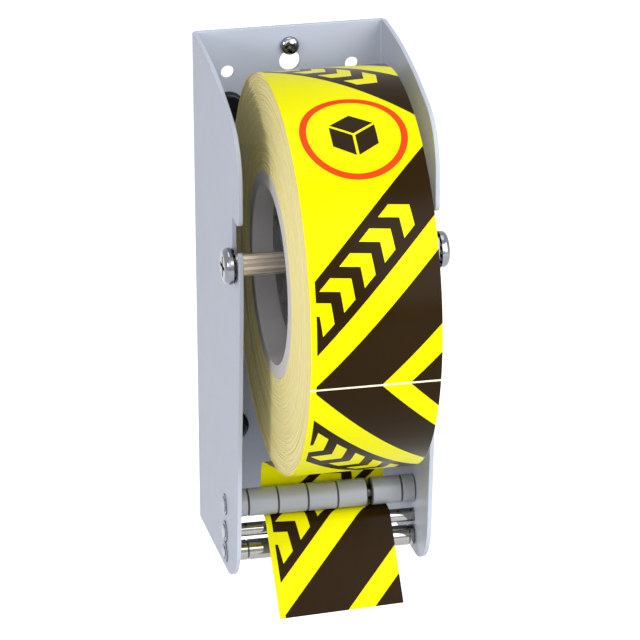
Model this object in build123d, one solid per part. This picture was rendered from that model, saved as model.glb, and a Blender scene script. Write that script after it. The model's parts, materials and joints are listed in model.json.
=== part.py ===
"""Wall-mounted holder for a roll of labels, with the roll on its axle and the guide rollers.

Millimetres. X runs left to right, -Y comes out of the wall and +Z is up. The origin is on the
wall plane, midway between the two upper screw holes. In the sizes below, depths are measured
out from the wall and heights up from the lower edge of the back plate.
"""
import os
from math import cos, radians, sin

from build123d import *

# Fits and overruns
running_gap = 0.08
layer_gap = 0.05
overrun = 5.0

# Bracket, one bent sheet: a back plate and two side walls
bracket_width = 86.0
sheet = 2.0
bend_inside_radius = 1.0
sheet_edge_round = 0.35

# Roll of labels on its core
roll_radius = 85.0
core_bore_radius = 38.1
core_wall = 5.9
roll_left_gap = 12.8
roll_right_gap = 14.5
roll_back_gap = 8.4
roll_room_below = 26.0
roll_edge_round = 0.6
core_edge_round = 0.3

# Guide rollers under the roll, one above the other
rod_depth = 65.3
roller_height = 10.8
roller_radius = 4.5
roller_shaft_radius = 2.4
guide_rod_radius = 3.0
guide_rod_gap = 2.2
sleeve_radius = 6.1
sleeve_rod_radius = 3.175
sleeve_nip = 3.8

# Sleeves along the top rod
left_middle_sleeve_count = 4
right_middle_sleeve_count = 1
left_end_sleeve_length = 7.3
right_end_sleeve_length = 6.0
bare_rod_length = 2.25
sleeve_gap = 0.1
sleeve_chamfer = 0.45

# Spacers on the shaft of the bottom roller
left_spacer_length = 7.3
right_spacer_length = 2.2
spacer_chamfer = 0.4

# Rod ends with a retaining clip outside each wall
rod_tip = 0.6
rod_chamfer = 0.3
clip_radius = 4.8
clip_ring = 1.3
clip_thickness = 0.45
clip_tab_width = 1.6
clip_tab_angles = (30, 90, 150)
clip_mouth_share = 0.85
clip_play = 0.1
clip_seat_gap = 0.03
groove_depth = 0.6

# Hubs that carry the core
hub_looseness = 5.6
hub_hang_gap = 0.25
hub_setback = 8.0
hub_gap = 0.4
hub_rim = 2.6
hub_boss_radius = 10.5
hub_plate = 2.6
hub_ribs = 5
hub_rib_width = 2.4
hub_rib_height = 3.0
hub_first_rib_angle = 17

# Axle with a screw and a toothed washer at each end
axle_radius = 4.75
axle_overhang = 0.3
axle_chamfer = 0.5
axle_tap_wall = 1.75
axle_tap_depth = 14.0
axle_screw_length = 12.0
axle_head_radius = 7.85
axle_head_height = 3.6
axle_head_round = 2.4
washer_thickness = 1.4
washer_radius = 7.4
washer_tooth_length = 1.5
washer_teeth = 14
washer_tooth_gap = 1.1

# Slot that the axle drops into
slot_play = 0.85
slot_mouth_play = 2.2
slot_corner_radius = 2.0
slot_hook_radius = 4.0
slot_lip = 3.8
slot_lip_round_share = 0.45
slot_lip_rise = 3.4
axle_seat_gap = 0.25

# Outline of the walls
top_above_axle = 72.75
top_flat = 15.0
top_radius = 237.0
brow_radius = 24.0
knee_below_axle = 14.85
knee_radius = 90.0
foot_beyond_rods = 24.1
foot_rise = 3.8
toe_radius = 25.0

# Holes in the back plate
screw_hole_radius = 2.9
screw_hole_spacing = 55.0
screw_hole_below_top = 19.2
keyhole_radius = 4.6
keyhole_below_top = 16.0
keyhole_slot_rise = 7.0

# Screw in the wall that the keyhole hangs on
wall_screw_head_radius = 4.1
wall_screw_head_height = 2.9
wall_screw_head_round = 1.6
wall_screw_shank_radius = 2.0
wall_screw_gap = 0.3

# Cross recess of the screws, as shares of the head's radius and height
recess_reach_share = 0.58
recess_arm_share = 0.22
recess_depth_share = 0.5

# Rubber plugs in the back plate
plug_radius = 7.3
plug_height = 3.0
plug_round = 2.2
plug_neck_radius = 4.5
plug_from_wall = 13.5
plug_low_height = 43.0
plug_high_below_top = 35.4

# Free end of the label strip
strip_shift = 2.1
strip_thickness = 0.5
strip_gap = 0.35
strip_leave_angle = 17.3
strip_drop_angle = 10.5
strip_sag_radius = 9.0
strip_turn_beyond_rods = 5.5
strip_turn_radius = 9.0
tail_reach = 23.5
tail_drop = 36.2

# Places that follow from the sizes
half_width = bracket_width / 2
inside_half = half_width - sheet
guide_rod_height = roller_height + roller_radius + guide_rod_gap + guide_rod_radius
sleeve_rod_height = guide_rod_height + guide_rod_radius + sleeve_nip + sleeve_radius
roll_height = sleeve_rod_height + sleeve_radius + roll_room_below + roll_radius
axle_height = roll_height + hub_looseness - hub_hang_gap
axle_depth = sheet + roll_back_gap + roll_radius
bracket_height = axle_height + top_above_axle
slot_half = axle_radius + slot_play
wall_depth = axle_depth + slot_half + slot_lip
lip_height = axle_height + axle_radius + slot_lip_rise
hook_height = lip_height + 2 * axle_radius + slot_mouth_play
screw_hole_height = bracket_height - screw_hole_below_top
keyhole_height = bracket_height - keyhole_below_top
plug_x = inside_half - plug_from_wall
plug_high_height = bracket_height - plug_high_below_top
roll_left = roll_left_gap - inside_half
roll_right = inside_half - roll_right_gap
core_radius = core_bore_radius + core_wall
hub_radius = core_bore_radius - hub_looseness
hub_length = (roll_right - roll_left - hub_gap) / 2 - hub_setback
axle_half = half_width + axle_overhang
axle_screw_radius = axle_radius - axle_tap_wall
clip_room = clip_thickness + 2 * clip_play
rod_half = half_width + clip_room + rod_tip

SCREW_FACING_OUT = Plane(origin=(0, 0, 0), x_dir=(1, 0, 0), z_dir=(0, -1, 0))


def place(depth, height):
    """A point of the side view, as Y and Z."""
    return (-depth, height - screw_hole_height)


def side_view(shape, depth=0, height=screw_hole_height):
    """A flat shape moved to its place in the side view, which is seen along X."""
    return Plane.YZ * Pos(*place(depth, height)) * shape


def across(flat, start, end):
    """A side-view shape made solid from start to end along X."""
    return Pos(start, 0, 0) * extrude(flat, amount=end - start, dir=(1, 0, 0))


def round_bar(radius, depth, height, start, end):
    return across(side_view(Circle(radius), depth, height), start, end)


def end_rims(solid):
    """The outermost rim at each end of a piece that is turned about X."""
    rims = solid.edges().filter_by(GeomType.CIRCLE).group_by(Axis.X)
    return ShapeList([rims[0].sort_by(SortBy.RADIUS)[-1], rims[-1].sort_by(SortBy.RADIUS)[-1]])


def sleeve_shape(outer, bore, depth, height, start, end, edge_chamfer):
    tube = round_bar(outer, depth, height, start, end)
    tube = chamfer(end_rims(tube), edge_chamfer)
    return tube - round_bar(bore, depth, height, start - overrun, end + overrun)


def wall_face():
    """Outline of a side wall, with the axle's slot cut in."""
    brow_run = wall_depth - top_flat
    brow_drop = top_radius - (top_radius**2 - brow_run**2) ** 0.5
    middle_run = brow_run / 2
    middle_drop = top_radius - (top_radius**2 - middle_run**2) ** 0.5
    brow = (wall_depth, bracket_height - brow_drop)
    knee = (wall_depth, axle_height - knee_below_axle)
    toe = (rod_depth + foot_beyond_rods, foot_rise)
    rear_top = (top_flat, bracket_height)
    top_middle = (top_flat + middle_run, bracket_height - middle_drop)
    edges = Polyline(*[place(*spot) for spot in (brow, knee, toe, (0, 0), (0, bracket_height), rear_top)])
    edges += ThreePointArc(place(*rear_top), place(*top_middle), place(*brow))
    face = side_view(make_face(edges), 0, screw_hole_height)

    mouth_rear = (axle_depth - slot_half, hook_height)
    mouth_length = wall_depth - mouth_rear[0] + overrun
    mouth = Rectangle(mouth_length, hook_height - lip_height, align=(Align.MAX, Align.MAX))
    seat_height = axle_height + slot_half - axle_radius - axle_seat_gap
    seat = Rectangle(2 * slot_half, hook_height - seat_height, align=(Align.CENTER, Align.MAX))
    face -= side_view(mouth, *mouth_rear)
    face -= side_view(seat, axle_depth, hook_height)
    face -= side_view(Circle(slot_half), axle_depth, seat_height)

    lip_round = slot_lip * slot_lip_round_share
    rounds = {
        brow: brow_radius,
        knee: knee_radius,
        toe: toe_radius,
        mouth_rear: slot_corner_radius,
        (wall_depth, hook_height): slot_hook_radius,
        (wall_depth, lip_height): lip_round,
        (wall_depth - slot_lip, lip_height): lip_round,
    }
    for spot, radius in rounds.items():
        corner = face.vertices().sort_by_distance((0, *place(*spot)))[0]
        face = fillet(corner, radius)
    return face


def bracket():
    body = across(wall_face(), -half_width, half_width)
    inside = Rectangle(wall_depth + overrun - sheet, bracket_height + 2 * overrun, align=(Align.MAX, Align.MIN))
    body -= across(side_view(inside, sheet, -overrun), -inside_half, inside_half)
    upright = body.edges().filter_by(Axis.Z)
    bend_radius = bend_inside_radius + sheet
    body = fillet(upright.group_by(Axis.Y)[-1], bend_radius)
    inner_corners = [(side * inside_half, *place(sheet, bracket_height / 2)) for side in (-1, 1)]
    upright = body.edges().filter_by(Axis.Z)
    inner_edges = ShapeList([upright.sort_by_distance(corner)[0] for corner in inner_corners])
    body = fillet(inner_edges, bend_inside_radius)
    body = fillet(sheet_edges(body), sheet_edge_round)

    for hole in plate_holes():
        body -= hole
    rods = (
        (roller_shaft_radius, roller_height),
        (guide_rod_radius, guide_rod_height),
        (sleeve_rod_radius, sleeve_rod_height),
    )
    for radius, height in rods:
        body -= round_bar(radius + running_gap, rod_depth, height, -half_width - overrun, half_width + overrun)
    return body


def sheet_edges(body):
    """Every cut edge of the sheet, without the smooth lines along the two bends."""
    bend_zone = place(sheet + bend_inside_radius, 0)[0] - layer_gap
    return body.edges().filter_by(lambda edge: not is_bend_line(edge, bend_zone))


def is_bend_line(edge, bend_zone):
    box = edge.bounding_box()
    upright = box.size.Z > bracket_height / 2
    return upright and box.min.Y > bend_zone


def plate_hole(shape, x, height):
    """A hole right through the back plate."""
    flat = Plane.XZ * Pos(x, height - screw_hole_height) * shape
    return Pos(0, overrun, 0) * extrude(flat, amount=sheet + 2 * overrun, dir=(0, -1, 0))


def plate_holes():
    slot_radius = wall_screw_shank_radius + wall_screw_gap
    slot = Rectangle(2 * slot_radius, keyhole_slot_rise, align=(Align.CENTER, Align.MIN))
    holes = [
        plate_hole(Circle(keyhole_radius), 0, keyhole_height),
        plate_hole(slot, 0, keyhole_height),
        plate_hole(Circle(slot_radius), 0, keyhole_height + keyhole_slot_rise),
    ]
    for side in (-1, 1):
        holes.append(plate_hole(Circle(screw_hole_radius), side * screw_hole_spacing / 2, screw_hole_height))
        for height in (plug_low_height, plug_high_height):
            holes.append(plate_hole(Circle(plug_neck_radius + layer_gap), side * plug_x, height))
    return holes


def turned_head(radius, height, edge_round):
    """A low round head that stands on its underside at the origin."""
    head = Cylinder(radius, height, align=(Align.CENTER, Align.CENTER, Align.MIN))
    return fillet(head.edges().group_by(Axis.Z)[-1], edge_round)


def shank(radius, length):
    """A plain shank that hangs below the origin."""
    return Cylinder(radius, length, align=(Align.CENTER, Align.CENTER, Align.MAX))


def cross_recess(head_radius, head_height):
    arm = 2 * head_radius * recess_reach_share
    depth = head_height * recess_depth_share
    bar = Box(arm, head_radius * recess_arm_share, depth + overrun, align=(Align.CENTER, Align.CENTER, Align.MIN))
    return Pos(0, 0, head_height - depth) * (bar + Rot(0, 0, 90) * bar)


def wall_screw():
    screw = turned_head(wall_screw_head_radius, wall_screw_head_height, wall_screw_head_round)
    screw += shank(wall_screw_shank_radius, sheet)
    screw -= cross_recess(wall_screw_head_radius, wall_screw_head_height)
    height = keyhole_height + keyhole_slot_rise
    y, z = place(sheet, height)
    return Pos(0, y, z) * SCREW_FACING_OUT.location * screw


def rubber_plug(side, height):
    plug = turned_head(plug_radius, plug_height, plug_round) + shank(plug_neck_radius, sheet)
    y, z = place(sheet, height)
    return Pos(side * plug_x, y, z) * SCREW_FACING_OUT.location * plug


def outward_at_axle(side, distance):
    """Place on the axle's line, with Z pointing away from the middle."""
    y, z = place(axle_depth, axle_height)
    return Plane(origin=(side * distance, y, z), x_dir=(0, 0, 1), z_dir=(side, 0, 0)).location


def axle_rod():
    rod = round_bar(axle_radius, axle_depth, axle_height, -axle_half, axle_half)
    rod = chamfer(end_rims(rod), axle_chamfer)
    for side in (-1, 1):
        tapped = shank(axle_screw_radius + layer_gap, axle_tap_depth)
        rod -= outward_at_axle(side, axle_half) * tapped
    return rod


def axle_screw(side):
    screw = turned_head(axle_head_radius, axle_head_height, axle_head_round)
    screw += shank(axle_screw_radius, axle_screw_length)
    screw -= cross_recess(axle_head_radius, axle_head_height)
    return outward_at_axle(side, axle_half + washer_thickness) * screw


def lock_washer(side):
    flat = Circle(washer_radius) - Circle(axle_screw_radius + running_gap)
    notch = Rectangle(washer_tooth_length + overrun, washer_tooth_gap, align=(Align.MIN, Align.CENTER))
    for spot in PolarLocations(washer_radius - washer_tooth_length, washer_teeth):
        flat -= spot * notch
    return outward_at_axle(side, axle_half) * extrude(flat, amount=washer_thickness)


def core_hub(side):
    """Cup-shaped hub: a rim, a ribbed plate and a boss that turns on the axle."""
    outer = roll_right - hub_setback if side > 0 else -roll_left - hub_setback
    inner = outer - hub_length
    ribs_start = outer - hub_rib_height
    plate_start = ribs_start - hub_plate

    def ring(radius, start, end):
        return round_bar(radius, axle_depth, axle_height, start, end)

    hub = ring(hub_radius, inner, outer) - ring(hub_radius - hub_rim, inner - overrun, outer + overrun)
    hub += ring(hub_radius - hub_rim / 2, plate_start, ribs_start)
    hub += ring(hub_boss_radius, inner, outer)
    rib = Rectangle(hub_radius - hub_rim / 2, hub_rib_width, align=(Align.MIN, Align.CENTER))
    for index in range(hub_ribs):
        turned = Rot(0, 0, hub_first_rib_angle + index * 360 / hub_ribs) * rib
        hub += across(side_view(turned, axle_depth, axle_height), plate_start, outer)
    hub -= ring(axle_radius + running_gap, inner - overrun, outer + overrun)
    return hub if side > 0 else mirror(hub, about=Plane.YZ)


def roll_core():
    core = round_bar(core_radius, axle_depth, roll_height, roll_left, roll_right)
    core -= round_bar(core_bore_radius, axle_depth, roll_height, roll_left - overrun, roll_right + overrun)
    return fillet(core.edges().filter_by(GeomType.CIRCLE), core_edge_round)


def label_roll():
    roll = round_bar(roll_radius, axle_depth, roll_height, roll_left, roll_right)
    roll = fillet(end_rims(roll), roll_edge_round)
    bore = core_radius + layer_gap
    return roll - round_bar(bore, axle_depth, roll_height, roll_left - overrun, roll_right + overrun)


def label_web():
    """The strip's free stretch: off the roll, round the sleeves, out under them and down."""
    leave = radians(strip_leave_angle)
    drop = radians(strip_drop_angle)
    wound = roll_radius + strip_gap + strip_thickness
    wrapped = sleeve_radius + strip_gap
    start = (axle_depth + wound * sin(leave), roll_height - wound * cos(leave))
    touch = (rod_depth - wrapped * cos(drop), sleeve_rod_height + wrapped * sin(drop))
    ahead = start[0] - touch[0]
    above = start[1] - touch[1]
    climb = (above * cos(leave) - ahead * sin(leave)) / cos(drop + leave)
    sag = (touch[0] + climb * sin(drop), touch[1] + climb * cos(drop))
    under_height = sleeve_rod_height - wrapped
    fall = (touch[1] - under_height) / cos(drop)
    behind = (touch[0] - fall * sin(drop), under_height)
    turn = (rod_depth + strip_turn_beyond_rods, under_height)
    end = (turn[0] + tail_reach, turn[1] - tail_drop)
    corners = [place(*spot) for spot in (start, sag, behind, turn, end)]
    route = FilletPolyline(*corners, radius=[strip_sag_radius, wrapped, strip_turn_radius])
    section = make_face(offset(route, amount=strip_thickness, side=Side.LEFT, closed=True))
    left = roll_left + strip_shift
    return across(side_view(section), left, left + roll_right - roll_left)


def sleeve_spans():
    """Start and end along X of each sleeve, from left to right."""
    middle_count = left_middle_sleeve_count + right_middle_sleeve_count
    gaps = (middle_count + 3) * sleeve_gap
    ends = left_end_sleeve_length + right_end_sleeve_length
    middle_length = (2 * inside_half - ends - bare_rod_length - gaps) / middle_count
    lengths_left = [left_end_sleeve_length] + [middle_length] * left_middle_sleeve_count
    lengths_right = [middle_length] * right_middle_sleeve_count + [right_end_sleeve_length]
    spans = []
    start = sleeve_gap - inside_half
    for length in lengths_left:
        spans.append((start, start + length))
        start += length + sleeve_gap
    start += bare_rod_length - sleeve_gap
    for length in lengths_right:
        spans.append((start, start + length))
        start += length + sleeve_gap
    return spans


def grooved_rod(radius, height):
    """A rod through both walls, with a groove for a clip near each end."""
    rod = round_bar(radius, rod_depth, height, -rod_half, rod_half)
    rod = chamfer(end_rims(rod), rod_chamfer)
    ring = side_view(Circle(radius + overrun) - Circle(radius - groove_depth), rod_depth, height)
    rod -= across(ring, half_width, half_width + clip_room)
    rod -= across(ring, -half_width - clip_room, -half_width)
    return rod


def retaining_clip(rod_radius, height, side):
    """Open ring with three tabs that reach into the rod's groove."""
    seat = rod_radius - groove_depth + clip_seat_gap
    flat = Circle(clip_radius) - Circle(clip_radius - clip_ring)
    tab = Pos(seat, 0) * Rectangle(clip_radius - clip_ring / 2 - seat, clip_tab_width, align=(Align.MIN, Align.CENTER))
    for angle in clip_tab_angles:
        flat += Rot(0, 0, angle) * tab
    flat -= Circle(seat)
    mouth = Rectangle(2 * rod_radius * clip_mouth_share, clip_radius + overrun, align=(Align.CENTER, Align.MAX))
    flat -= mouth
    start = half_width + clip_play
    if side < 0:
        start = -start - clip_thickness
    return across(side_view(flat, rod_depth, height), start, start + clip_thickness)


def guide_pieces():
    """The three rods with their clips, the sleeves, and the bottom roller with its spacers."""
    pieces = {
        "sleeve_rod": grooved_rod(sleeve_rod_radius, sleeve_rod_height),
        "guide_rod": grooved_rod(guide_rod_radius, guide_rod_height),
        "roller_shaft": grooved_rod(roller_shaft_radius, roller_height),
    }
    rods = {
        "sleeve_rod": (sleeve_rod_radius, sleeve_rod_height),
        "guide_rod": (guide_rod_radius, guide_rod_height),
        "roller_shaft": (roller_shaft_radius, roller_height),
    }
    for name, (radius, height) in rods.items():
        pieces[name + "_clip_left"] = retaining_clip(radius, height, -1)
        pieces[name + "_clip_right"] = retaining_clip(radius, height, 1)

    bore = sleeve_rod_radius + running_gap
    for number, (start, end) in enumerate(sleeve_spans(), start=1):
        sleeve = sleeve_shape(sleeve_radius, bore, rod_depth, sleeve_rod_height, start, end, sleeve_chamfer)
        pieces["sleeve_" + str(number)] = sleeve

    bore = roller_shaft_radius + running_gap
    tube_start = sleeve_gap - inside_half + left_spacer_length
    tube_end = inside_half - sleeve_gap - right_spacer_length
    spans = {
        "roller_spacer_left": (sleeve_gap - inside_half, tube_start),
        "roller_tube": (tube_start + sleeve_gap, tube_end - sleeve_gap),
        "roller_spacer_right": (tube_end, inside_half - sleeve_gap),
    }
    for name, (start, end) in spans.items():
        pieces[name] = sleeve_shape(roller_radius, bore, rod_depth, roller_height, start, end, spacer_chamfer)
    return pieces


def build():
    pieces = {
        "bracket": bracket(),
        "wall_screw": wall_screw(),
        "plug_lower_left": rubber_plug(-1, plug_low_height),
        "plug_lower_right": rubber_plug(1, plug_low_height),
        "plug_upper_left": rubber_plug(-1, plug_high_height),
        "plug_upper_right": rubber_plug(1, plug_high_height),
        "axle_rod": axle_rod(),
        "axle_screw_left": axle_screw(-1),
        "axle_screw_right": axle_screw(1),
        "lock_washer_left": lock_washer(-1),
        "lock_washer_right": lock_washer(1),
        "core_hub_left": core_hub(-1),
        "core_hub_right": core_hub(1),
        "roll_core": roll_core(),
        "label_roll": label_roll(),
        "label_web": label_web(),
    }
    pieces.update(guide_pieces())
    return pieces


os.makedirs("parts", exist_ok=True)
for name, piece in build().items():
    export_step(piece, "parts/" + name + ".step")
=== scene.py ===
"""Finishes, roll, strip and small steel pieces of a wall-mounted label roll holder.

Lengths are in metres and angles in radians unless a name says otherwise. X runs to the right,
-Y out of the wall and +Z up. The origin is on the wall, midway between the upper screw holes.
"""
import json
import random
from math import atan2, cos, pi, radians, sin, tan

import bmesh
import bpy
from bpy.props import FloatProperty, FloatVectorProperty, IntProperty, PointerProperty
from mathutils import Matrix, Vector


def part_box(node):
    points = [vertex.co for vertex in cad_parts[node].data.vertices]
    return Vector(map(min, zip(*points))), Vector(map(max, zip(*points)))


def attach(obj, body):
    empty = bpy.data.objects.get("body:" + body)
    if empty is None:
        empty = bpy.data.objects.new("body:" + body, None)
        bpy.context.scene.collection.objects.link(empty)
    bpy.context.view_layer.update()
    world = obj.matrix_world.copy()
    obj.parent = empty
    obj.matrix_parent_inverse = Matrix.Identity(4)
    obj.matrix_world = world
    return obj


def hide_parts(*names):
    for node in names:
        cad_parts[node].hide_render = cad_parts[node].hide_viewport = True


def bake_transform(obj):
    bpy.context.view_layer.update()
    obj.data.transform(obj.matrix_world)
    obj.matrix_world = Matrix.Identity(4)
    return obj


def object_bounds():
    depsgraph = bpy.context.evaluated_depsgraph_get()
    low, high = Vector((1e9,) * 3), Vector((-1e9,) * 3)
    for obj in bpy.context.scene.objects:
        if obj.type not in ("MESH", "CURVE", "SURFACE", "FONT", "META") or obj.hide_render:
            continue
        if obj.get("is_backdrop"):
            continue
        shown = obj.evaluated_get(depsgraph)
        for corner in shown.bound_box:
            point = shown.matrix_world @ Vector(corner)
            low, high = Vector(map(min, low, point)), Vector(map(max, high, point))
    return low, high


bl_info = {
    "name": "Label Roll Holder",
    "version": (1, 0, 0),
    "blender": (4, 5, 0),
    "location": "View3D > Sidebar > Roll Holder",
    "description": "Dresses a wall-mounted label roll holder: paint, steel, rubber, paper and print",
    "category": "Object",
}

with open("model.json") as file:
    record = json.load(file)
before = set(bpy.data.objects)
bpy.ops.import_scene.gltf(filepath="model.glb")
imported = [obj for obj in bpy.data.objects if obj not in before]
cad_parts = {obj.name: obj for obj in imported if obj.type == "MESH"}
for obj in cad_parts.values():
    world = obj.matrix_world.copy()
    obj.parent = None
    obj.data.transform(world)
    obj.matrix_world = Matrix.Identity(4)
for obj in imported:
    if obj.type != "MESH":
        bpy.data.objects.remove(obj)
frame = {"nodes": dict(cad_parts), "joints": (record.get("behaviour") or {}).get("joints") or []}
CAD_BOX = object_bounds()
MM = 0.001
JOINTS = {joint["name"]: joint for joint in frame["joints"]}


def box_of(node):
    low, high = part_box(node)
    return Vector(low), Vector(high)


def radius_of(node):
    """Radius of a round node that lies along X."""
    low, high = box_of(node)
    return (high.y - low.y) / 2


def axis_of(joint):
    """Y and Z of a joint's turning line."""
    place = JOINTS[joint]["pos_m"]
    return Vector((place[1], place[2]))


WALL_OUTSIDE = box_of("bracket")[1].x
ROLL_LOW, ROLL_HIGH = box_of("label_roll")
ROLL_AXIS = axis_of("roll_spin")
ROLL_RADIUS = radius_of("label_roll")
ROLL_WIDTH = ROLL_HIGH.x - ROLL_LOW.x
CORE_RADIUS = radius_of("roll_core")
SLEEVE_TOP = box_of("sleeve_2")[1].z
SLEEVE_AXIS = axis_of("sleeve_2_spin")
SLEEVE_RADIUS = radius_of("sleeve_2")
STRIP_LEFT = box_of("label_web")[0].x
SLEEVES = ["sleeve_%d" % number for number in range(1, 8)]
SEEN_RAYS = ("Is Camera Ray", "Is Glossy Ray", "Is Transmission Ray")
LAMP_AIM = Vector((0.0, -0.05, -0.1))
GRAIN_ALONG = (4.0, 700.0, 700.0)
GRAIN_ROUND = (900.0, 8.0, 8.0)


def colour_field(name, description, default):
    return FloatVectorProperty(name=name, description=description, subtype="COLOR", default=default)


def length_field(name, description, millimetres):
    return FloatProperty(name=name, description=description, subtype="DISTANCE", default=millimetres * MM)


def angle_field(name, description, degrees):
    return FloatProperty(name=name, description=description, subtype="ANGLE", default=radians(degrees))


def number_field(name, description, default):
    return FloatProperty(name=name, description=description, default=default)


def count_field(name, description, default):
    return IntProperty(name=name, description=description, default=default)


class FinishColours(bpy.types.PropertyGroup):
    """Colours of the pieces, in linear light."""

    paint: colour_field("Paint", "Powder coat of the bracket", (0.44, 0.475, 0.565))
    zinc: colour_field("Zinc", "Axle screws", (0.21, 0.22, 0.245))
    screw_steel: colour_field("Screw steel", "Wall screw", (0.27, 0.285, 0.33))
    axle_steel: colour_field("Axle steel", "Ground bar of the axle", (0.60, 0.53, 0.45))
    dark_steel: colour_field("Dark steel", "Blackened washers and rod", (0.06, 0.058, 0.06))
    rod_end: colour_field("Rod end", "Ends of the rods outside the walls", (0.42, 0.44, 0.50))
    clip: colour_field("Clip", "Retaining clips on the rod ends", (0.26, 0.27, 0.31))
    chrome: colour_field("Chrome", "Polished guide rod and roller", (0.27, 0.268, 0.262))
    rubber: colour_field("Rubber", "Plugs in the back plate", (0.007, 0.009, 0.014))
    hub: colour_field("Hub", "Moulded hubs inside the core", (0.19, 0.19, 0.185))
    sleeve: colour_field("Sleeve", "Turned sleeves on the top rod", (0.285, 0.30, 0.335))
    board: colour_field("Core board", "Wound board of the core", (0.63, 0.60, 0.62))
    paper: colour_field("Paper edge", "Edges of the wound paper", (1.0, 0.84, 0.40))
    liner: colour_field("Liner", "Backing paper of the strip", (0.80, 0.76, 0.58))
    yellow: colour_field("Yellow ink", "Ground of the labels", (0.70, 0.675, 0.0))
    black: colour_field("Black ink", "Stripes of the labels", (0.0175, 0.0085, 0.001))
    red: colour_field("Red ink", "Ring on the labels", (0.66, 0.05, 0.007))


class LabelSizes(bpy.types.PropertyGroup):
    """Layout of one printed label, in millimetres.

    A stripe's line is given by its height above the label's nearer end, midway across.
    """

    length: number_field("Length", "Length of one label", 219.4)
    gap: number_field("Gap", "Bare backing between two labels", 0.9)
    first_edge: number_field("First edge", "Front label's lower edge, up from the roll's front line", -19.0)
    margin: number_field("Margin", "Yellow margin along the left edge", 2.6)
    slope: number_field("Slope", "Rise of the stripes for each step across", 1.05)
    wide_low: number_field("Wide band, low", "Lower line of the wide band", 41.5)
    wide_high: number_field("Wide band, high", "Upper line of the wide band", 72.6)
    stripe_low: number_field("Stripe, low", "Lower line of the middle stripe", -3.0)
    stripe_high: number_field("Stripe, high", "Upper line of the middle stripe", 27.4)
    corner: number_field("Corner", "Upper line of the corner stripe", -15.5)
    row_line: number_field("Row line", "Line that the arrowheads follow", 57.0)
    row_half: number_field("Row half width", "Half width of the arrowheads", 6.8)
    row_middle: number_field("Row middle", "Middle of the row along its line", 41.3)
    row_start: number_field("Row start", "Start of the row, back from its middle", 34.0)
    row_end: number_field("Row end", "End of the row, on from its middle", 31.0)
    arrow_pitch: number_field("Arrow pitch", "Step from one arrowhead to the next", 13.0)
    arrow_stroke: number_field("Arrow stroke", "Length of an arrowhead along the row", 7.0)
    arrow_sweep: number_field("Arrow sweep", "How far back its sides run for each step out", 0.8)
    ring_radius: number_field("Ring radius", "Outside of the ring", 22.3)
    ring_stroke: number_field("Ring stroke", "Width of the ring's line", 2.9)
    parcel_radius: number_field("Parcel radius", "Size of the parcel in the ring", 11.0)
    parcel_line: number_field("Parcel line", "Half width of the parcel's open edges", 0.55)


class RollSizes(bpy.types.PropertyGroup):
    """Shape of the wound roll."""

    layers: count_field("Layers", "Layers that stand apart on the roll's sides", 42)
    stagger: length_field("Stagger", "How far a layer's edge stands in", 1.2)
    groove: number_field("Groove", "Share of a layer that slopes into the groove, on each side", 0.16)
    cut: length_field("Cut", "Depth of the grooves", 0.4)
    edge_lift: length_field("Edge lift", "Face of the labels, above the layers' outermost points", 0.25)
    corner_inset: length_field("Corner inset", "Corner of the last label, in from the side", 0.10)
    corner_drop: number_field("Corner drop", "Depth of that corner, as a share of the edge lift", 0.3)
    face_inset: length_field("Face inset", "Edge of the flat face, in from the side", 0.35)
    bore_gap: length_field("Bore gap", "Air between the core and the layers", 0.05)
    sides: count_field("Sides", "Facets round the roll", 240)


class WasherSizes(bpy.types.PropertyGroup):
    """Toothed lock washers under the axle screws."""

    teeth: count_field("Teeth", "Teeth round the rim", 14)
    facets: count_field("Facets", "Facets round the ring", 56)
    bore: length_field("Bore", "Radius of the hole", 3.4)
    tooth_length: length_field("Tooth length", "Tooth, out from the ring", 1.6)
    tooth_width: length_field("Tooth width", "Tooth, along the rim", 1.9)
    bite: number_field("Bite", "Further share of a tooth's length that is inside the ring", 0.25)
    sheet: length_field("Sheet", "Thickness of the steel", 0.6)
    twist: angle_field("Twist", "Twist of each tooth", 22)
    margin: length_field("Margin", "How far the teeth stay inside the plain washer", 0.1)


class ScrewSizes(bpy.types.PropertyGroup):
    """Domed head of the wall screw, with its cross recess."""

    side: length_field("Side", "Straight side below the dome", 0.7)
    chamfer: length_field("Chamfer", "Width of the chamfer under the side", 0.2)
    chamfer_share: number_field("Chamfer share", "Height of the chamfer as a share of the side", 0.3)
    head: length_field("Head", "Height of the head", 2.9)
    shank: length_field("Shank", "Radius of the shank", 2.0)
    reach: length_field("Reach", "Recess, out from the middle", 2.5)
    arm: length_field("Arm", "Half width of the recess's arms", 0.5)
    depth: length_field("Depth", "Depth of the recess", 1.5)
    taper: number_field("Taper", "Share of the depth lost along an arm", 0.45)
    arm_wall: length_field("Arm wall", "Width of the slope at an arm's sides", 0.2)
    arm_end: length_field("Arm end", "Width of the slope at an arm's end", 0.3)
    turn: angle_field("Turn", "Turn of the recess", 33)
    recess_rings: count_field("Recess rings", "Rings of points as far as the recess reaches", 40)
    dome_rings: count_field("Dome rings", "Rings of points from there to the rim", 14)
    sides: count_field("Sides", "Facets round the screw", 192)


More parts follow.
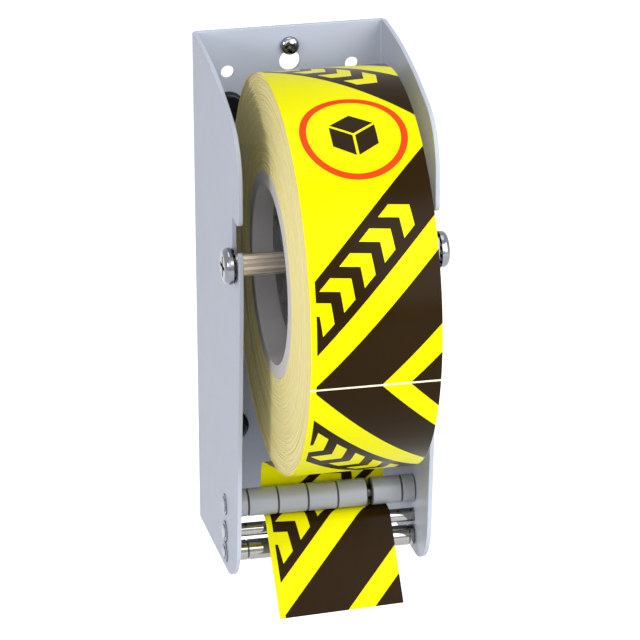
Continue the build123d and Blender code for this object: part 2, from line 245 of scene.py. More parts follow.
class StripSizes(bpy.types.PropertyGroup):
    """Route of the free strip: off the roll, round the sleeves, out under them and down."""

    thickness: length_field("Thickness", "Label and backing together", 0.16)
    clearance: length_field("Clearance", "Air between strip and roll or sleeves", 0.2)
    leave_angle: angle_field("Leaving angle", "Where the strip leaves, ahead of the roll's lowest line", 17.3)
    drop_angle: angle_field("Drop angle", "Lean of the strip behind the sleeves", 10.5)
    sag_radius: length_field("Sag radius", "Bend under the roll", 9.0)
    turn_beyond_rods: length_field("Turn beyond rods", "Bend of the tail in front of the rods", 5.5)
    turn_radius: length_field("Turn radius", "Bend of the tail", 6.0)
    tail_reach: length_field("Tail reach", "Tail, out from its bend", 23.5)
    tail_drop: length_field("Tail drop", "Tail, down from its bend", 36.2)
    slant: angle_field("Slant", "Slant of the tail's bend across the strip", 3.9)
    hold: length_field("Hold", "Height above the sleeves below which the strip stays with them", 2.0)
    columns: count_field("Columns", "Faces across the strip", 18)
    rows: count_field("Rows", "Faces along the strip", 190)


class StudioSettings(bpy.types.PropertyGroup):
    """Camera, floor and world, in metres."""

    target: FloatVectorProperty(
        name="Target", description="Point at the middle of the picture", subtype="TRANSLATION",
        default=(0.00509, -0.03896, -0.10425),
    )
    azimuth: angle_field("Azimuth", "Turn of the view to the right", -11.78)
    elevation: angle_field("Elevation", "Height of the view", 21.77)
    tilt: angle_field("Tilt", "Roll of the camera", -0.32)
    distance: number_field("Distance", "Camera to target", 1.99039)
    lens: number_field("Lens", "Focal length in millimetres", 256.66)
    floor_gap: number_field("Floor gap", "Floor below the holder, which hangs on a wall", 0.25)
    floor_half: number_field("Floor half width", "Floor, out from the middle", 4.0)
    world_light: number_field("World light", "World strength that lights the pieces", 0.3)
    world_seen: number_field("World seen", "World strength in view and in reflections", 1.0)


def shades(colour, darker, lighter):
    """A darker and a lighter shade of a colour."""
    return [part * darker for part in colour], [min(1.0, part * lighter) for part in colour]


class Nodes:
    """A shader node tree, built with short calls."""

    def __init__(self, tree):
        self.tree = tree

    def add(self, kind, **settings):
        node = self.tree.nodes.new(kind)
        for name, value in settings.items():
            setattr(node, name, value)
        return node

    def put(self, socket, value):
        """A socket of another node is linked; a number or colour is set."""
        if isinstance(value, bpy.types.NodeSocket):
            self.tree.links.new(value, socket)
        elif socket.type == "RGBA" and len(value) == 3:
            socket.default_value = (*value, 1.0)
        else:
            socket.default_value = value

    def math(self, operation, *values):
        node = self.add("ShaderNodeMath", operation=operation)
        for socket, value in zip(node.inputs, values):
            self.put(socket, value)
        return node.outputs[0]

    def between(self, value, low, high):
        """1 where value lies from low to high."""
        above = self.math("GREATER_THAN", value, low)
        below = self.math("LESS_THAN", value, high)
        return self.math("MULTIPLY", above, below)

    def any_of(self, *masks):
        total = masks[0]
        for mask in masks[1:]:
            total = self.math("MAXIMUM", total, mask)
        return total

    def seen(self):
        """1 for rays from the camera, a reflection or a clear surface."""
        path = self.add("ShaderNodeLightPath")
        return self.any_of(*[path.outputs[kind] for kind in SEEN_RAYS])

    def distance(self, first, second):
        """Square root of the sum of both squares."""
        squares = [self.math("MULTIPLY", value, value) for value in (first, second)]
        return self.math("SQRT", self.math("ADD", *squares))

    def split(self, vector):
        node = self.add("ShaderNodeSeparateXYZ")
        self.put(node.inputs["Vector"], vector)
        return node

    def mix(self, factor, first, second, **settings):
        node = self.add("ShaderNodeMix", data_type="RGBA", **settings)
        self.put(node.inputs["Factor"], factor)
        self.put(node.inputs["A"], first)
        self.put(node.inputs["B"], second)
        return node.outputs["Result"]

    def spread(self, value, low, high):
        """Maps 0 to 1 onto low to high."""
        node = self.add("ShaderNodeMapRange")
        self.put(node.inputs["Value"], value)
        self.put(node.inputs["To Min"], low)
        self.put(node.inputs["To Max"], high)
        return node.outputs["Result"]


class Shader(Nodes):
    """A new material and its node tree."""

    def __init__(self, name):
        self.material = bpy.data.materials.new(name)
        self.material.use_nodes = True
        super().__init__(self.material.node_tree)
        self.surface = self.tree.nodes["Principled BSDF"]

    def place(self, axis=None):
        """The object's own coordinates, or one of the three."""
        vector = self.add("ShaderNodeTexCoord").outputs["Object"]
        return self.split(vector).outputs[axis] if axis else vector

    def noise(self, scale, detail=2.0, vector=None):
        node = self.add("ShaderNodeTexNoise")
        self.put(node.inputs["Scale"], scale)
        self.put(node.inputs["Detail"], detail)
        self.put(node.inputs["Vector"], self.place() if vector is None else vector)
        return node.outputs["Fac"]

    def vary(self, colour, amount, scale):
        """The colour, lighter and darker in soft patches."""
        return self.mix(self.noise(scale), *shades(colour, 1 - amount, 1 + amount))

    def bump(self, height, depth, strength=1.0):
        node = self.add("ShaderNodeBump")
        self.put(node.inputs["Height"], height)
        self.put(node.inputs["Distance"], depth)
        self.put(node.inputs["Strength"], strength)
        self.put(self.surface.inputs["Normal"], node.outputs["Normal"])

    def set(self, **values):
        """Sets the main shader's sockets, with spaces in their names written as underscores."""
        for name, value in values.items():
            self.put(self.surface.inputs[name.replace("_", " ")], value)
        return self.material


def powder_coat(colour):
    shader = Shader("powder_coat")
    shader.bump(shader.noise(scale=1400.0, detail=3.0), depth=0.03 * MM, strength=0.5)
    rough = shader.spread(shader.noise(scale=90.0), low=0.36, high=0.46)
    shown = shader.vary(colour, amount=0.025, scale=25.0)
    return shader.set(Base_Color=shown, Roughness=rough, Specular_IOR_Level=0.1)


def plated_steel(name, colour, roughness):
    """Small plated or blackened parts."""
    shader = Shader(name)
    rough = shader.spread(shader.noise(scale=600.0, detail=4.0), low=roughness * 0.8, high=roughness * 1.3)
    shader.bump(shader.noise(scale=2500.0, detail=4.0), depth=0.01 * MM, strength=0.3)
    shown = shader.vary(colour, amount=0.06, scale=300.0)
    return shader.set(Base_Color=shown, Metallic=1.0, Roughness=rough)


def bright_bar(name, colour, roughness, grain, end_colour, contrast=0.05, metal=1.0):
    """Bright bar with fine marks round or along it, and dull ends outside the walls."""
    shader = Shader(name)
    outside = shader.math("GREATER_THAN", shader.math("ABSOLUTE", shader.place("X")), WALL_OUTSIDE)
    stretch = shader.add("ShaderNodeMapping")
    shader.put(stretch.inputs["Vector"], shader.place())
    shader.put(stretch.inputs["Scale"], grain)
    marks = shader.noise(scale=1.0, detail=4.0, vector=stretch.outputs["Vector"])
    shader.bump(marks, depth=0.008 * MM, strength=0.35)
    rough = shader.spread(marks, low=roughness * 0.7, high=roughness * 1.4)
    duller_ends = shader.math("MULTIPLY", outside, 0.35)
    rough = shader.math("ADD", rough, duller_ends)
    dark, light = shades(colour, 1 - contrast, 1 + contrast)
    banded = shader.mix(shader.spread(marks, low=-1.0, high=2.0), dark, light)
    shown = shader.mix(outside, banded, end_colour)
    return shader.set(Base_Color=shown, Metallic=metal, Roughness=rough)


def rubber(colour):
    shader = Shader("rubber")
    shader.bump(shader.noise(scale=1800.0, detail=3.0), depth=0.01 * MM, strength=0.4)
    rough = shader.spread(shader.noise(scale=200.0), low=0.22, high=0.34)
    shown = shader.vary(colour, amount=0.2, scale=90.0)
    return shader.set(Base_Color=shown, Roughness=rough, Specular_IOR_Level=0.2)


def moulded_plastic(name, colour, roughness, grain, dark_joints=()):
    """Grained plastic, darker at the joints between pieces that meet end to end along X."""
    shader = Shader(name)
    shader.bump(shader.noise(scale=grain, detail=3.0), depth=0.02 * MM, strength=0.5)
    rough = shader.spread(shader.noise(scale=120.0), low=roughness * 0.85, high=roughness * 1.15)
    shown = shader.vary(colour, amount=0.05, scale=50.0)
    if dark_joints:
        reach = 0.4 * MM
        across = shader.place("X")
        worn = shader.any_of(*[shader.between(across, joint - reach, joint + reach) for joint in dark_joints])
        shown = shader.mix(worn, shown, [part * 0.3 for part in colour])
    return shader.set(Base_Color=shown, Roughness=rough)


def distance_from_roll_axis(shader):
    along = shader.math("SUBTRACT", shader.place("Y"), ROLL_AXIS.x)
    up = shader.math("SUBTRACT", shader.place("Z"), ROLL_AXIS.y)
    return shader.distance(along, up)


def layer_lines(shader, scale):
    """Rings round the roll's axis, uneven from one to the next."""
    node = shader.add("ShaderNodeTexNoise", noise_dimensions="1D")
    shader.put(node.inputs["W"], distance_from_roll_axis(shader))
    shader.put(node.inputs["Scale"], scale)
    shader.put(node.inputs["Detail"], 4.0)
    return node.outputs["Fac"]


def wound_edges(name, colour, scale, depth):
    """Edges of many thin layers, seen end on."""
    shader = Shader(name)
    fine_share, coarser = 0.6, 6
    fine = shader.math("MULTIPLY", layer_lines(shader, scale), fine_share)
    coarse = shader.math("MULTIPLY", layer_lines(shader, scale / coarser), 1 - fine_share)
    lines = shader.math("ADD", fine, coarse)
    shader.bump(lines, depth, strength=0.8)
    dark, light = shades(colour, 0.74, 1.12)
    white, brownish = (1.0, 1.0, 1.0), (0.86, 0.80, 0.62)
    stain = shader.math("MULTIPLY", shader.noise(scale=18.0), 0.25)
    tint = shader.mix(stain, white, brownish)
    shown = shader.mix(1.0, shader.mix(lines, dark, light), tint, blend_type="MULTIPLY")
    return shader.set(Base_Color=shown, Roughness=0.55)


def backing_paper(colour):
    shader = Shader("backing_paper")
    shader.bump(shader.noise(scale=900.0, detail=5.0), depth=0.01 * MM, strength=0.4)
    return shader.set(Base_Color=shader.vary(colour, amount=0.05, scale=120.0), Roughness=0.5)


def printed_labels(colours, sizes):
    """Yellow labels with slanted black stripes, a row of arrowheads, and a parcel in a ring."""
    shader = Shader("printed_labels")
    place = shader.split(shader.add("ShaderNodeUVMap", uv_map="strip").outputs["UV"])
    width = ROLL_WIDTH / MM
    across = shader.math("MULTIPLY", place.outputs["X"], 1 / MM)
    side = shader.math("SUBTRACT", across, width / 2)
    along = shader.math("MULTIPLY", place.outputs["Y"], 1 / MM)
    pitch = sizes.length + sizes.gap
    from_edge = shader.math("SUBTRACT", along, sizes.first_edge)
    place_in_label = shader.math("FLOORED_MODULO", from_edge, pitch)
    on_label = shader.math("LESS_THAN", place_in_label, sizes.length)
    from_middle = shader.math("SUBTRACT", place_in_label, sizes.length / 2)
    from_end = shader.math("SUBTRACT", sizes.length / 2, shader.math("ABSOLUTE", from_middle))

    rise = shader.math("SUBTRACT", from_end, shader.math("MULTIPLY", side, sizes.slope))
    wide_band = shader.between(rise, sizes.wide_low, sizes.wide_high)
    middle_stripe = shader.between(rise, sizes.stripe_low, sizes.stripe_high)
    corner = shader.math("LESS_THAN", rise, sizes.corner)
    inside_margin = shader.math("GREATER_THAN", across, sizes.margin)
    stripes = shader.math("MULTIPLY", shader.any_of(wide_band, middle_stripe, corner), inside_margin)

    stretch = (1 + sizes.slope**2) ** 0.5
    row_side = shader.math("DIVIDE", shader.math("SUBTRACT", rise, sizes.row_line), stretch)
    row_side = shader.math("ABSOLUTE", row_side)
    row_along = shader.math("ADD", side, shader.math("MULTIPLY", from_end, sizes.slope))
    row_along = shader.math("SUBTRACT", shader.math("DIVIDE", row_along, stretch), sizes.row_middle)
    swept = shader.math("ADD", row_along, shader.math("MULTIPLY", row_side, sizes.arrow_sweep))
    step = shader.math("FLOORED_MODULO", shader.math("ADD", swept, sizes.row_start), sizes.arrow_pitch)
    in_arrow = shader.math("LESS_THAN", step, sizes.arrow_stroke)
    in_row = shader.math("LESS_THAN", row_side, sizes.row_half)
    in_length = shader.between(swept, -sizes.row_start, sizes.row_end)
    arrows = shader.math("MULTIPLY", shader.math("MULTIPLY", in_arrow, in_row), in_length)

    reach = shader.distance(side, from_middle)
    ring = shader.between(reach, sizes.ring_radius - sizes.ring_stroke, sizes.ring_radius)
    parcel = parcel_mark(shader, side, from_middle, sizes.parcel_radius, sizes.parcel_line)

    black = shader.vary(colours.black, amount=0.15, scale=40.0)
    yellow = shader.vary(colours.yellow, amount=0.02, scale=30.0)
    colour = shader.mix(stripes, yellow, black)
    colour = shader.mix(arrows, colour, yellow)
    colour = shader.mix(parcel, colour, black)
    colour = shader.mix(ring, colour, colours.red)
    colour = shader.mix(on_label, colours.liner, colour)
    waves = shader.noise(scale=14.0, detail=1.0)
    label_edges = shader.math("MULTIPLY", on_label, 0.4)
    shader.bump(shader.math("ADD", label_edges, waves), depth=0.15 * MM, strength=0.6)
    ink = shader.math("MAXIMUM", stripes, parcel)
    rough = shader.spread(ink, low=0.34, high=0.24)
    return shader.set(Base_Color=colour, Roughness=rough, Specular_IOR_Level=0.05)


def parcel_mark(shader, side, up, radius, line):
    """A parcel seen over one corner: a six-sided shape with its three near edges left open."""
    flat, lean = cos(radians(30)), sin(radians(30))
    wide = shader.math("ABSOLUTE", side)
    tall = shader.math("ABSOLUTE", up)
    leaning = shader.math("MULTIPLY", wide, lean)
    slanted = shader.math("ADD", leaning, shader.math("MULTIPLY", tall, flat))
    inside = shader.math("LESS_THAN", shader.math("MAXIMUM", wide, slanted), radius * flat)
    upright = shader.math("MULTIPLY", shader.math("LESS_THAN", wide, line), shader.math("LESS_THAN", up, 0.0))
    ridge = shader.math("SUBTRACT", shader.math("MULTIPLY", up, flat), leaning)
    sloping = shader.math("LESS_THAN", shader.math("ABSOLUTE", ridge), line)
    edges = shader.any_of(upright, shader.math("MULTIPLY", sloping, shader.math("GREATER_THAN", up, -line)))
    return shader.math("MULTIPLY", inside, shader.math("SUBTRACT", 1.0, edges))


def finish_nodes(material, *nodes):
    """Gives CAD nodes that keep their shape their material."""
    for node in nodes:
        data = frame["nodes"][node].data
        data.materials.clear()
        data.materials.append(material)


def new_piece(name, vertices, faces, materials, slots=None):
    data = bpy.data.meshes.new(name)
    data.from_pydata([tuple(v) for v in vertices], [], faces)
    for material in materials:
        data.materials.append(material)
    if slots:
        data.polygons.foreach_set("material_index", slots)
    piece = bpy.data.objects.new(name, data)
    bpy.context.scene.collection.objects.link(piece)
    return piece


def settled(piece):
    """The piece with its modifiers made into plain mesh."""
    graph = bpy.context.evaluated_depsgraph_get()
    grown = bpy.data.meshes.new_from_object(piece.evaluated_get(graph))
    piece.modifiers.clear()
    piece.data = grown
    return piece


class Growth:
    """A Geometry Nodes tree with named sizes, built with short calls."""

    def __init__(self, name, sizes):
        self.tree = bpy.data.node_groups.new(name, "GeometryNodeTree")
        self.values = {}
        for label, value in sizes.items():
            kind = "NodeSocketInt" if isinstance(value, int) else "NodeSocketFloat"
            socket = self.tree.interface.new_socket(label, in_out="INPUT", socket_type=kind)
            self.values[socket.identifier] = value
        self.tree.interface.new_socket("Shape", in_out="OUTPUT", socket_type="NodeSocketGeometry")
        self.size = self.tree.nodes.new("NodeGroupInput").outputs

    def add(self, kind, values, **settings):
        """Adds a node and returns its first output."""
        node = self.tree.nodes.new(kind)
        for name, value in settings.items():
            setattr(node, name, value)
        for name, value in values.items():
            if isinstance(value, bpy.types.NodeSocket):
                self.tree.links.new(value, node.inputs[name])
            else:
                node.inputs[name].default_value = value
        return node.outputs[0]

    def math(self, operation, first, second):
        return self.add("ShaderNodeMath", {0: first, 1: second}, operation=operation)

    def join(self, *shapes):
        node = self.tree.nodes.new("GeometryNodeJoinGeometry")
        for shape in shapes:
            self.tree.links.new(shape, node.inputs[0])
        return node.outputs[0]

    def finish(self, shape, material):
        real = self.add("GeometryNodeRealizeInstances", {"Geometry": shape})
        painted = self.add("GeometryNodeSetMaterial", {"Geometry": real, "Material": material})
        self.tree.links.new(painted, self.tree.nodes.new("NodeGroupOutput").inputs[0])

    def piece(self, name):
        """A plain mesh piece with the tree's result."""
        piece = new_piece(name, [], [], [])
        modifier = piece.modifiers.new(name, "NODES")
        modifier.node_group = self.tree
        for identifier, value in self.values.items():
            modifier[identifier] = value
        return settled(piece)


def washer_growth(sizes, radius, material):
    """A flat ring with twisted teeth round it, about Z."""
    growth = Growth("toothed_washer", {
        "Radius": radius, "Bore": sizes.bore, "Teeth": sizes.teeth, "Facets": sizes.facets,
        "Tooth length": sizes.tooth_length, "Tooth width": sizes.tooth_width, "Bite": sizes.bite,
        "Sheet": sizes.sheet, "Twist": sizes.twist,
    })
    size = growth.size
    root = growth.math("SUBTRACT", size["Radius"], size["Tooth length"])
    ring_width = growth.math("SUBTRACT", root, size["Bore"])
    middle = growth.math("ADD", size["Bore"], growth.math("MULTIPLY", ring_width, 0.5))
    line = growth.add("GeometryNodeCurvePrimitiveCircle", {"Resolution": size["Facets"], "Radius": middle})
    flat = {"Width": ring_width, "Height": size["Sheet"]}
    section = growth.add("GeometryNodeCurvePrimitiveQuadrilateral", flat)
    ring = growth.add("GeometryNodeCurveToMesh", {"Curve": line, "Profile Curve": section})
    bite = growth.math("MULTIPLY", size["Tooth length"], size["Bite"])
    length = growth.math("ADD", size["Tooth length"], bite)
    box = growth.add("ShaderNodeCombineXYZ", {"X": length, "Y": size["Tooth width"], "Z": size["Sheet"]})
    cuts = {"Vertices X": 3, "Vertices Y": 3, "Vertices Z": 2}
    blank = growth.add("GeometryNodeMeshCube", {"Size": box, **cuts})
    twist = {"Axis": (1.0, 0.0, 0.0), "Angle": size["Twist"]}
    turn = growth.add("FunctionNodeAxisAngleToRotation", twist)
    tooth = growth.add("GeometryNodeTransform", {"Geometry": blank, "Rotation": turn})
    reach = growth.math("SUBTRACT", size["Radius"], growth.math("MULTIPLY", length, 0.5))
    spots = growth.add("GeometryNodeMeshCircle", {"Vertices": size["Teeth"], "Radius": reach})
    place = growth.add("GeometryNodeInputPosition", {})
    facing = growth.add("FunctionNodeAlignRotationToVector", {"Vector": place}, axis="X", pivot_axis="Z")
    placed = {"Points": spots, "Instance": tooth, "Rotation": facing}
    teeth = growth.add("GeometryNodeInstanceOnPoints", placed)
    growth.finish(growth.join(ring, teeth), material)
    return growth


def toothed_washers(sizes, material):
    """One toothed washer under each axle screw's head."""
    for side in ("left", "right"):
        node = "lock_washer_" + side
        low, high = box_of(node)
        corner = radius_of(node) - sizes.margin
        radius = (corner**2 - (sizes.tooth_width / 2) ** 2) ** 0.5
        washer = washer_growth(sizes, radius, material).piece("toothed_washer_" + side)
        place = Matrix.Translation((low + high) / 2) @ Matrix.Rotation(pi / 2, 4, "Y")
        washer.data.transform(place)
        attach(washer, "axle")
        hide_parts(node)


def limited(share):
    """The share, held between 0 and 1."""
    return min(1.0, max(0.0, share))


def recess_depth(sizes, side, up):
    """Depth of the cross recess at a point of the head."""
    turned = Vector((side, up)) @ Matrix.Rotation(sizes.turn, 2)
    deepest = 0.0
    for along, across in ((abs(turned.x), abs(turned.y)), (abs(turned.y), abs(turned.x))):
        wall = limited((sizes.arm - across) / sizes.arm_wall + 0.5)
        end = limited((sizes.reach - along) / sizes.arm_end)
        deepest = max(deepest, sizes.depth * wall * end * (1 - sizes.taper * along / sizes.reach))
    return deepest


def domed_screw(sizes, material):
    """The wall screw: a domed head with a cross recess, on the plate, and its shank."""
    low, high = box_of("wall_screw")
    middle = (low + high) / 2
    radius = (high.x - low.x) / 2
    seat = low.y + sizes.head
    dome = sizes.head - sizes.side
    beyond = radius - sizes.reach
    inner, outer = sizes.recess_rings, sizes.dome_rings
    rings = [sizes.reach * step / inner for step in range(1, inner + 1)]
    rings += [sizes.reach + beyond * sin(pi / 2 * step / outer) for step in range(1, outer + 1)]
    profile = [(ring, sizes.side + dome * max(0.0, 1 - (ring / radius) ** 2) ** 0.5) for ring in rings]
    profile += [(radius, sizes.side * sizes.chamfer_share), (radius - sizes.chamfer, 0.0)]
    profile += [(sizes.shank, 0.0), (sizes.shank, seat - high.y)]
    sides = sizes.sides
    vertices = [(middle.x, low.y + recess_depth(sizes, 0, 0), middle.z)]
    for ring, height in profile:
        for index in range(sides):
            angle = 2 * pi * index / sides
            side, up = ring * cos(angle), ring * sin(angle)
            sunk = recess_depth(sizes, side, up) if height > sizes.side else 0.0
            vertices.append((middle.x + side, seat - height + sunk, middle.z + up))
    faces = [(0, 1 + index, 1 + (index + 1) % sides) for index in range(sides)]
    for ring in range(len(profile) - 1):
        here = 1 + ring * sides
        for index in range(sides):
            following = (index + 1) % sides
            faces.append((here + index, here + sides + index, here + sides + following, here + following))
    last = 1 + (len(profile) - 1) * sides
    faces.append(tuple(range(last, last + sides)))
    screw = new_piece("domed_wall_screw", vertices, faces, [material])
    face_outwards(screw)
    smooth(screw)
    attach(screw, "bracket")
    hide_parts("wall_screw")


def on_circle(axis, radius, angle):
    """Y and Z at an angle that runs from the front up and over."""
    return (axis.x - radius * cos(angle), axis.y + radius * sin(angle))


def turned_shell(name, profile, axis, sides, start, materials, slot_of):
    """Turns a closed profile of (x, radius) points round an axis along X."""
    count = len(profile)
    vertices = []
    for index in range(sides):
        angle = start + 2 * pi * index / sides
        for x, radius in profile:
            vertices.append((x, *on_circle(axis, radius, angle)))
    faces = []
    slots = []
    for index in range(sides):
        here = index * count
        there = (index + 1) % sides * count
        for point in range(count):
            following = (point + 1) % count
            faces.append((here + point, here + following, there + following, there + point))
            slots.append(slot_of(point))
    return new_piece(name, vertices, faces, materials, slots)


def smooth(piece):
    piece.data.shade_smooth()
    piece.data.set_sharp_from_angle(angle=radians(35))


def face_outwards(piece):
    data = bmesh.new()
    data.from_mesh(piece.data)
    bmesh.ops.recalc_face_normals(data, faces=data.faces)
    data.to_mesh(piece.data)
    data.free()


def layered_face(sizes, x, inward, seed):
    """Points of the roll's side from the core outwards, each layer's edge a little in or out."""
    chance = random.Random(seed)
    inner = CORE_RADIUS + sizes.bore_gap
    step = (ROLL_RADIUS - sizes.edge_lift - inner) / sizes.layers
    groove = step * sizes.groove
    kept, drift_share, own_share = 0.7, 0.2, 0.4
    drift = 0.0
    points = []
    for layer in range(sizes.layers):
        drift = drift * kept + chance.uniform(0.0, sizes.stagger) * drift_share
        edge = x + inward * (drift + chance.uniform(0.0, sizes.stagger) * own_share)
        low = inner + layer * step
        points.append((edge + inward * sizes.cut, low))
        points.append((edge, low + groove))
        points.append((edge, low + step - groove))
    return points


def wound_roll(sizes, seam, printed, edges):
    """The labels wound on the core, with the layers' edges on its sides and print round it."""
    left = layered_face(sizes, ROLL_LOW.x, inward=1, seed=3)
    right = layered_face(sizes, ROLL_HIGH.x, inward=-1, seed=8)
    corner = (sizes.corner_inset, ROLL_RADIUS - sizes.edge_lift * sizes.corner_drop)
    face = (sizes.face_inset, ROLL_RADIUS)
    surface = [(ROLL_LOW.x + inset, radius) for inset, radius in (corner, face)]
    surface += [(ROLL_HIGH.x - inset, radius) for inset, radius in (face, corner)]
    profile = left + surface + right[::-1]
    first_print = len(left)
    last_print = len(left) + len(surface) - 2

    def slot_of(point):
        return 0 if first_print <= point <= last_print else 1

    roll = turned_shell("wound_labels", profile, ROLL_AXIS, sizes.sides, seam, [printed, edges], slot_of)
    uv = roll.data.uv_layers.new(name="strip")
    count = len(profile)
    for polygon in roll.data.polygons:
        segment = polygon.index // count
        for loop in polygon.loop_indices:
            vertex = roll.data.loops[loop].vertex_index
            turned = vertex // count
            if segment == sizes.sides - 1 and turned == 0:
                turned = sizes.sides
            angle = seam + 2 * pi * turned / sizes.sides
            uv.data[loop].uv = (roll.data.vertices[vertex].co.x - ROLL_LOW.x, ROLL_RADIUS * angle)
    face_outwards(roll)
    smooth(roll)
    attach(roll, "roll")
    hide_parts("label_roll")


def rounded_route(corners, radii, steps):
    """Evenly sampled arcs between straight runs, as points of the side view."""
    points = [corners[0]]
    for before, corner, after, radius in zip(corners, corners[1:], corners[2:], radii):
        back = (before - corner).normalized()
        ahead = (after - corner).normalized()
        half = back.angle(ahead) / 2
        centre = corner + (back + ahead).normalized() * (radius / sin(half))
        start = corner + back * (radius / tan(half))
        end = corner + ahead * (radius / tan(half))
        first = atan2(start.y - centre.y, start.x - centre.x)
        turn = atan2(end.y - centre.y, end.x - centre.x) - first
        turn = (turn + pi) % (2 * pi) - pi
        for step in range(steps + 1):
            angle = first + turn * step / steps
            points.append(centre + radius * Vector((cos(angle), sin(angle))))
    points.append(corners[-1])
    return points


def resampled(points, steps):
    """Equally spaced points along the same line, and its length."""
    distances = [0.0]
    for start, end in zip(points, points[1:]):
        distances.append(distances[-1] + (end - start).length)
    line = []
    part = 0
    for step in range(steps + 1):
        wanted = distances[-1] * step / steps
        while part < len(points) - 2 and distances[part + 1] < wanted:
            part += 1
        share = (wanted - distances[part]) / (distances[part + 1] - distances[part])
        line.append(points[part].lerp(points[part + 1], share))
    return line, distances[-1]


def strip_corners(sizes, further):
    """Corners of the strip's route, as depth from the wall and height.

    The tail bends at its usual place, or a little further out, and keeps its length.
    """
    roll = Vector((-ROLL_AXIS.x, ROLL_AXIS.y))
    rod = Vector((-SLEEVE_AXIS.x, SLEEVE_AXIS.y))
    wound = ROLL_RADIUS + sizes.clearance
    wrapped = SLEEVE_RADIUS + sizes.clearance
    leave = Vector((sin(sizes.leave_angle), -cos(sizes.leave_angle)))
    start = roll + leave * wound
    lean = Vector((sin(sizes.drop_angle), cos(sizes.drop_angle)))
    touch = rod + Vector((-lean.y, lean.x)) * wrapped
    ahead = start - touch
    climb = ahead.y * cos(sizes.leave_angle) - ahead.x * sin(sizes.leave_angle)
    sag = touch + lean * (climb / cos(sizes.drop_angle + sizes.leave_angle))
    under = rod.y - wrapped
    behind = touch - lean * ((touch.y - under) / lean.y)
    turn = Vector((rod.x + sizes.turn_beyond_rods + further, under))
    tail = Vector((sizes.tail_reach, -sizes.tail_drop))
    end = turn + tail * (1 - further / tail.length)
    return [start, sag, behind, turn, end], [sizes.sag_radius, wrapped, sizes.turn_radius]


def label_strip(sizes, label_sizes, printed, backing):
    """The free end of the labels, as one thin sheet; its tail bends on a slightly slanted line."""
    columns, rows = sizes.columns, sizes.rows
    # marks holds each point's distance across the strip and, below 0, back from its cut end
    vertices = []
    marks = []
    swing = 1 - sizes.tail_reach / Vector((sizes.tail_reach, sizes.tail_drop)).length
    for column in range(columns + 1):
        across = ROLL_WIDTH * column / columns
        corners, radii = strip_corners(sizes, (across - ROLL_WIDTH / 2) * tan(sizes.slant))
        line, length = resampled(rounded_route(corners, radii, steps=24), rows)
        tail = (corners[4] - corners[3]).length
        for row, (depth, height) in enumerate(line):
            distance = length * row / rows
            beyond = max(0.0, distance - (length - tail))
            vertices.append((STRIP_LEFT + across + tan(sizes.slant) * swing * beyond, -depth, height))
            marks.append((across, distance - length))
    faces = []
    for column in range(columns):
        for row in range(rows):
            first = column * (rows + 1) + row
            faces.append((first, first + 1, first + rows + 2, first + rows + 1))
    strip = new_piece("label_strip", vertices, faces, [printed, backing])
    uv = strip.data.uv_layers.new(name="strip")
    pitch = (label_sizes.length + label_sizes.gap) * MM
    end_print = label_sizes.first_edge * MM - pitch
    for loop in strip.data.loops:
        across, before_end = marks[loop.vertex_index]
        uv.data[loop.index].uv = (across, end_print - before_end)
    solid = strip.modifiers.new("paper", "SOLIDIFY")
    solid.thickness = sizes.thickness
    solid.offset = -1.0
    solid.material_offset = 1
    solid.material_offset_rim = 1
    smooth(settled(strip))
    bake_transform(strip)
    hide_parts("label_web")


def light(name, place, size, power):
    """A square lamp that faces the middle of the holder."""
    data = bpy.data.lights.new(name, "AREA")
    data.shape = "SQUARE"
    data.size = size
    data.energy = power
    lamp = bpy.data.objects.new(name, data)
    bpy.context.scene.collection.objects.link(lamp)
    lamp.location = place
    facing = LAMP_AIM - Vector(place)
    lamp.rotation_euler = facing.to_track_quat("-Z", "Y").to_euler()


def floor_material():
    """Plain pale floor, lifted to white where the camera or a reflection sees it, shadow kept."""
    shader = Shader("floor")
    lift = shader.math("MULTIPLY", shader.seen(), 0.72)
    shader.set(Base_Color=(0.8, 0.8, 0.8), Roughness=0.9, Specular_IOR_Level=0.0)
    return shader.set(Emission_Color=(1.0, 1.0, 1.0), Emission_Strength=lift)


def white_world(settings):
    """A white world that lights the pieces less than it shows."""
    world = bpy.data.worlds.new("studio")
    world.use_nodes = True
    nodes = Nodes(world.node_tree)
    background = nodes.tree.nodes["Background"]
    nodes.put(background.inputs["Color"], (1.0, 1.0, 1.0))
    strength = nodes.spread(nodes.seen(), settings.world_light, settings.world_seen)
    nodes.put(background.inputs["Strength"], strength)
    return world


def view_camera(settings):
    data = bpy.data.cameras.new("camera")
    data.lens = settings.lens
    data.clip_end = 50.0
    camera = bpy.data.objects.new("camera", data)
    bpy.context.scene.collection.objects.link(camera)
    turn = Matrix.Rotation(settings.azimuth, 4, "Z") @ Matrix.Rotation(pi / 2 - settings.elevation, 4, "X")
    turn = turn @ Matrix.Rotation(settings.tilt, 4, "Z")
    back = Matrix.Translation((0, 0, settings.distance))
    camera.matrix_world = Matrix.Translation(settings.target) @ turn @ back
    return camera


class HOLDER_OT_bracket(bpy.types.Operator):
    """Paint the bent bracket"""

    bl_idname = "roll_holder.bracket"
    bl_label = "Bracket"

    def execute(self, context):
        finish_nodes(powder_coat(context.scene.holder_colours.paint), "bracket")
        return {"FINISHED"}


class HOLDER_OT_fixings(bpy.types.Operator):
    """Make the wall screw and finish the rubber plugs"""

    bl_idname = "roll_holder.fixings"
    bl_label = "Wall screw and plugs"

    def execute(self, context):
        colours = context.scene.holder_colours
        chromed = plated_steel("wall_screw_steel", colours.screw_steel, roughness=0.14)
        domed_screw(context.scene.holder_screw, chromed)
        plugs = [node for node in frame["nodes"] if node.startswith("plug_")]
        finish_nodes(rubber(colours.rubber), *plugs)
        return {"FINISHED"}


